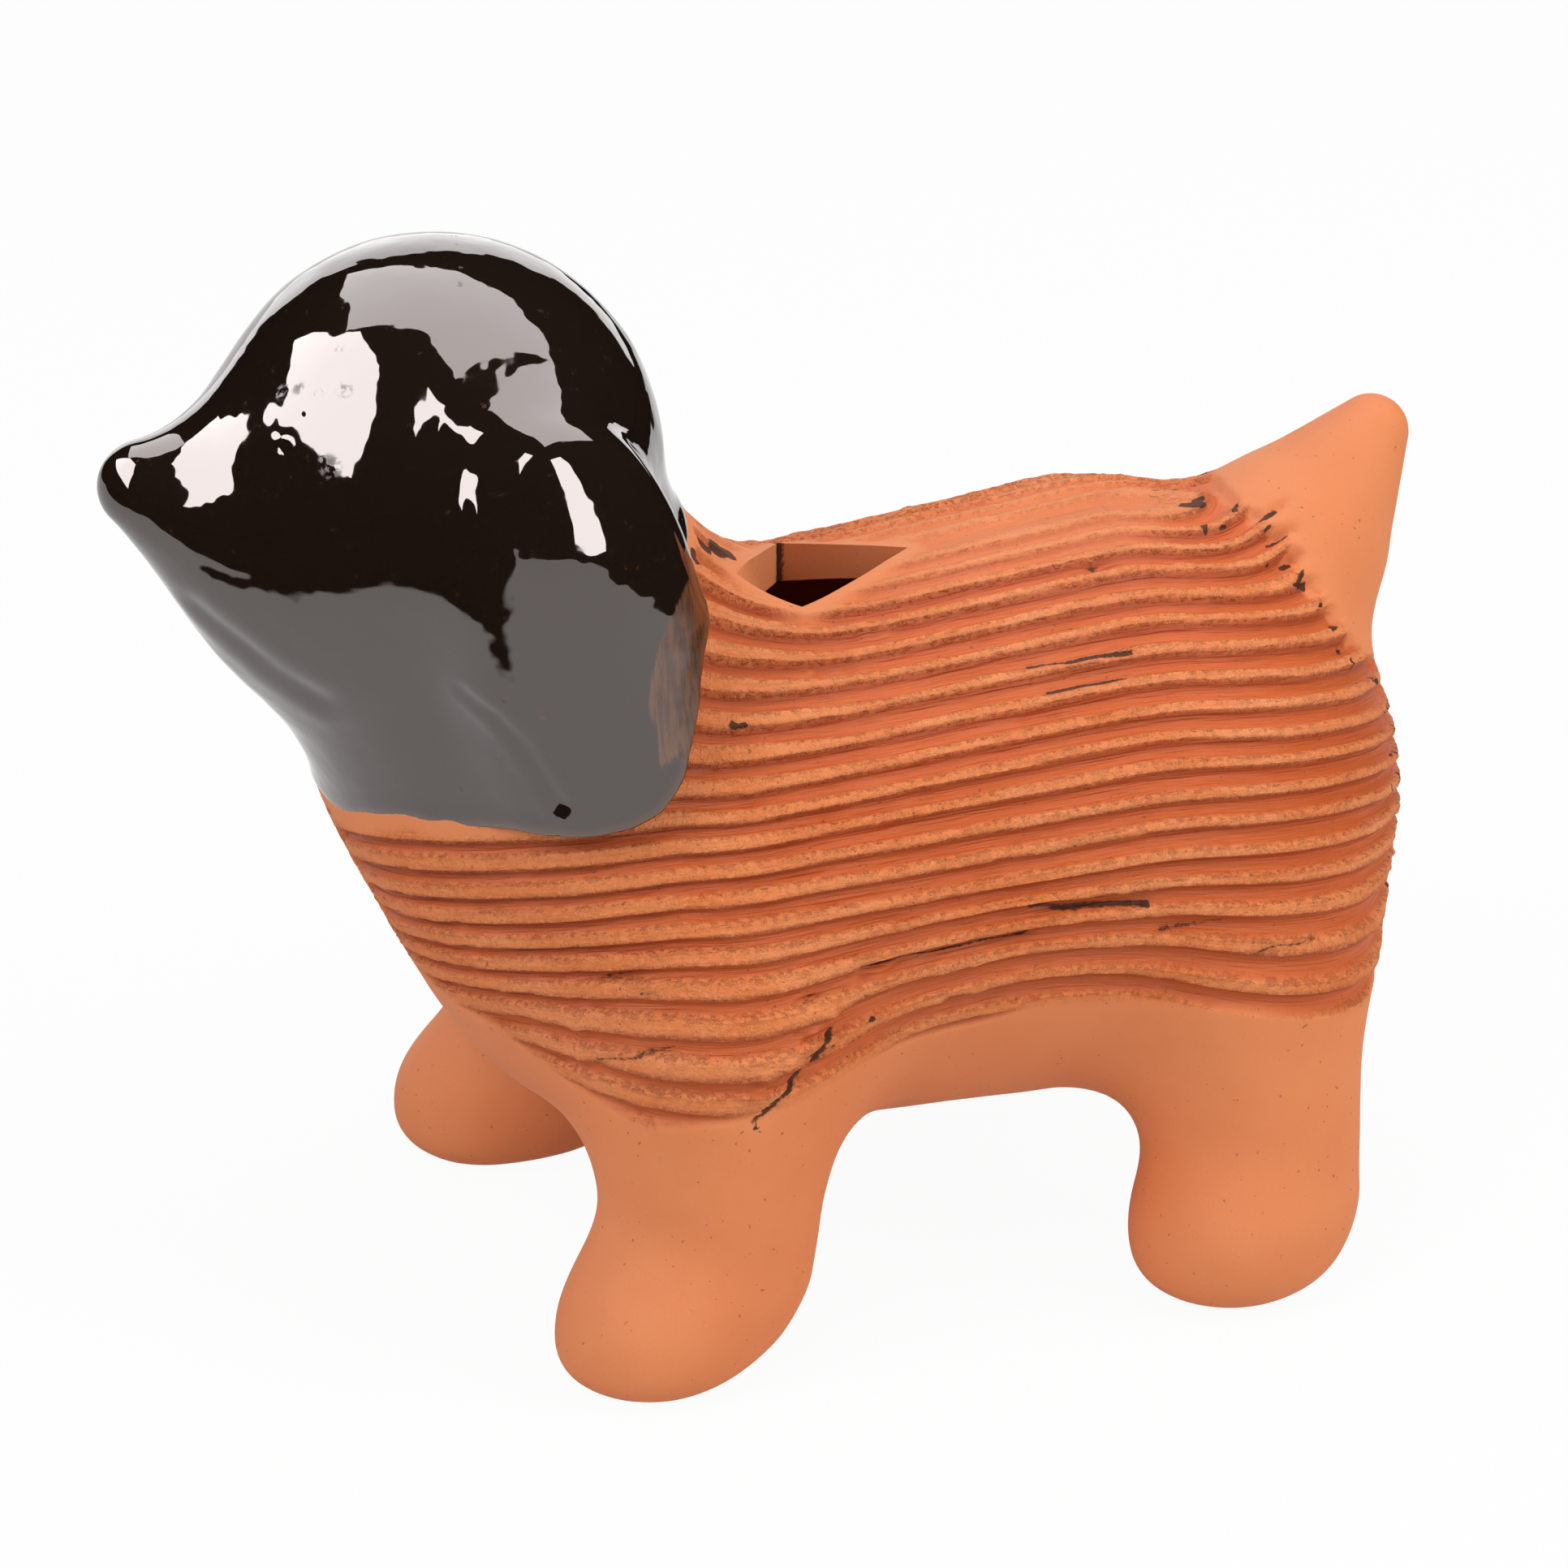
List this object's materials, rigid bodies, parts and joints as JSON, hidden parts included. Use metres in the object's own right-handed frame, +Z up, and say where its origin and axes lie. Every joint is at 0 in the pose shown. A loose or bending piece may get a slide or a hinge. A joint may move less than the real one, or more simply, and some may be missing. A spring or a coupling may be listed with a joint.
{
  "type": "planter",
  "caption": "Hollow terracotta planter in the shape of a standing puppy, with a combed body that holds seeds, a filling slot in its back and a dark glazed head.",
  "frame": {"origin": "on the surface it stands on, under the middle of the overall box of the planter", "axes": "+X towards the tail, along the body; +Y towards the puppy's right side; +Z up"},
  "size_m": [0.1779, 0.1008, 0.1448],
  "materials": {
    "terracotta": "unglazed, matt, combed on the body and smoothed on legs and tail",
    "dark_glaze": "glossy, very dark brown"
  },
  "bodies": {
    "root": {"torso_shell": "terracotta", "head_shell": "terracotta", "head_glaze": "dark_glaze", "ear_left": "terracotta", "ear_right": "terracotta", "front_left_leg": "terracotta", "front_right_leg": "terracotta", "rear_left_leg": "terracotta", "rear_right_leg": "terracotta", "tail": "terracotta"}
  },
  "joints": []
}
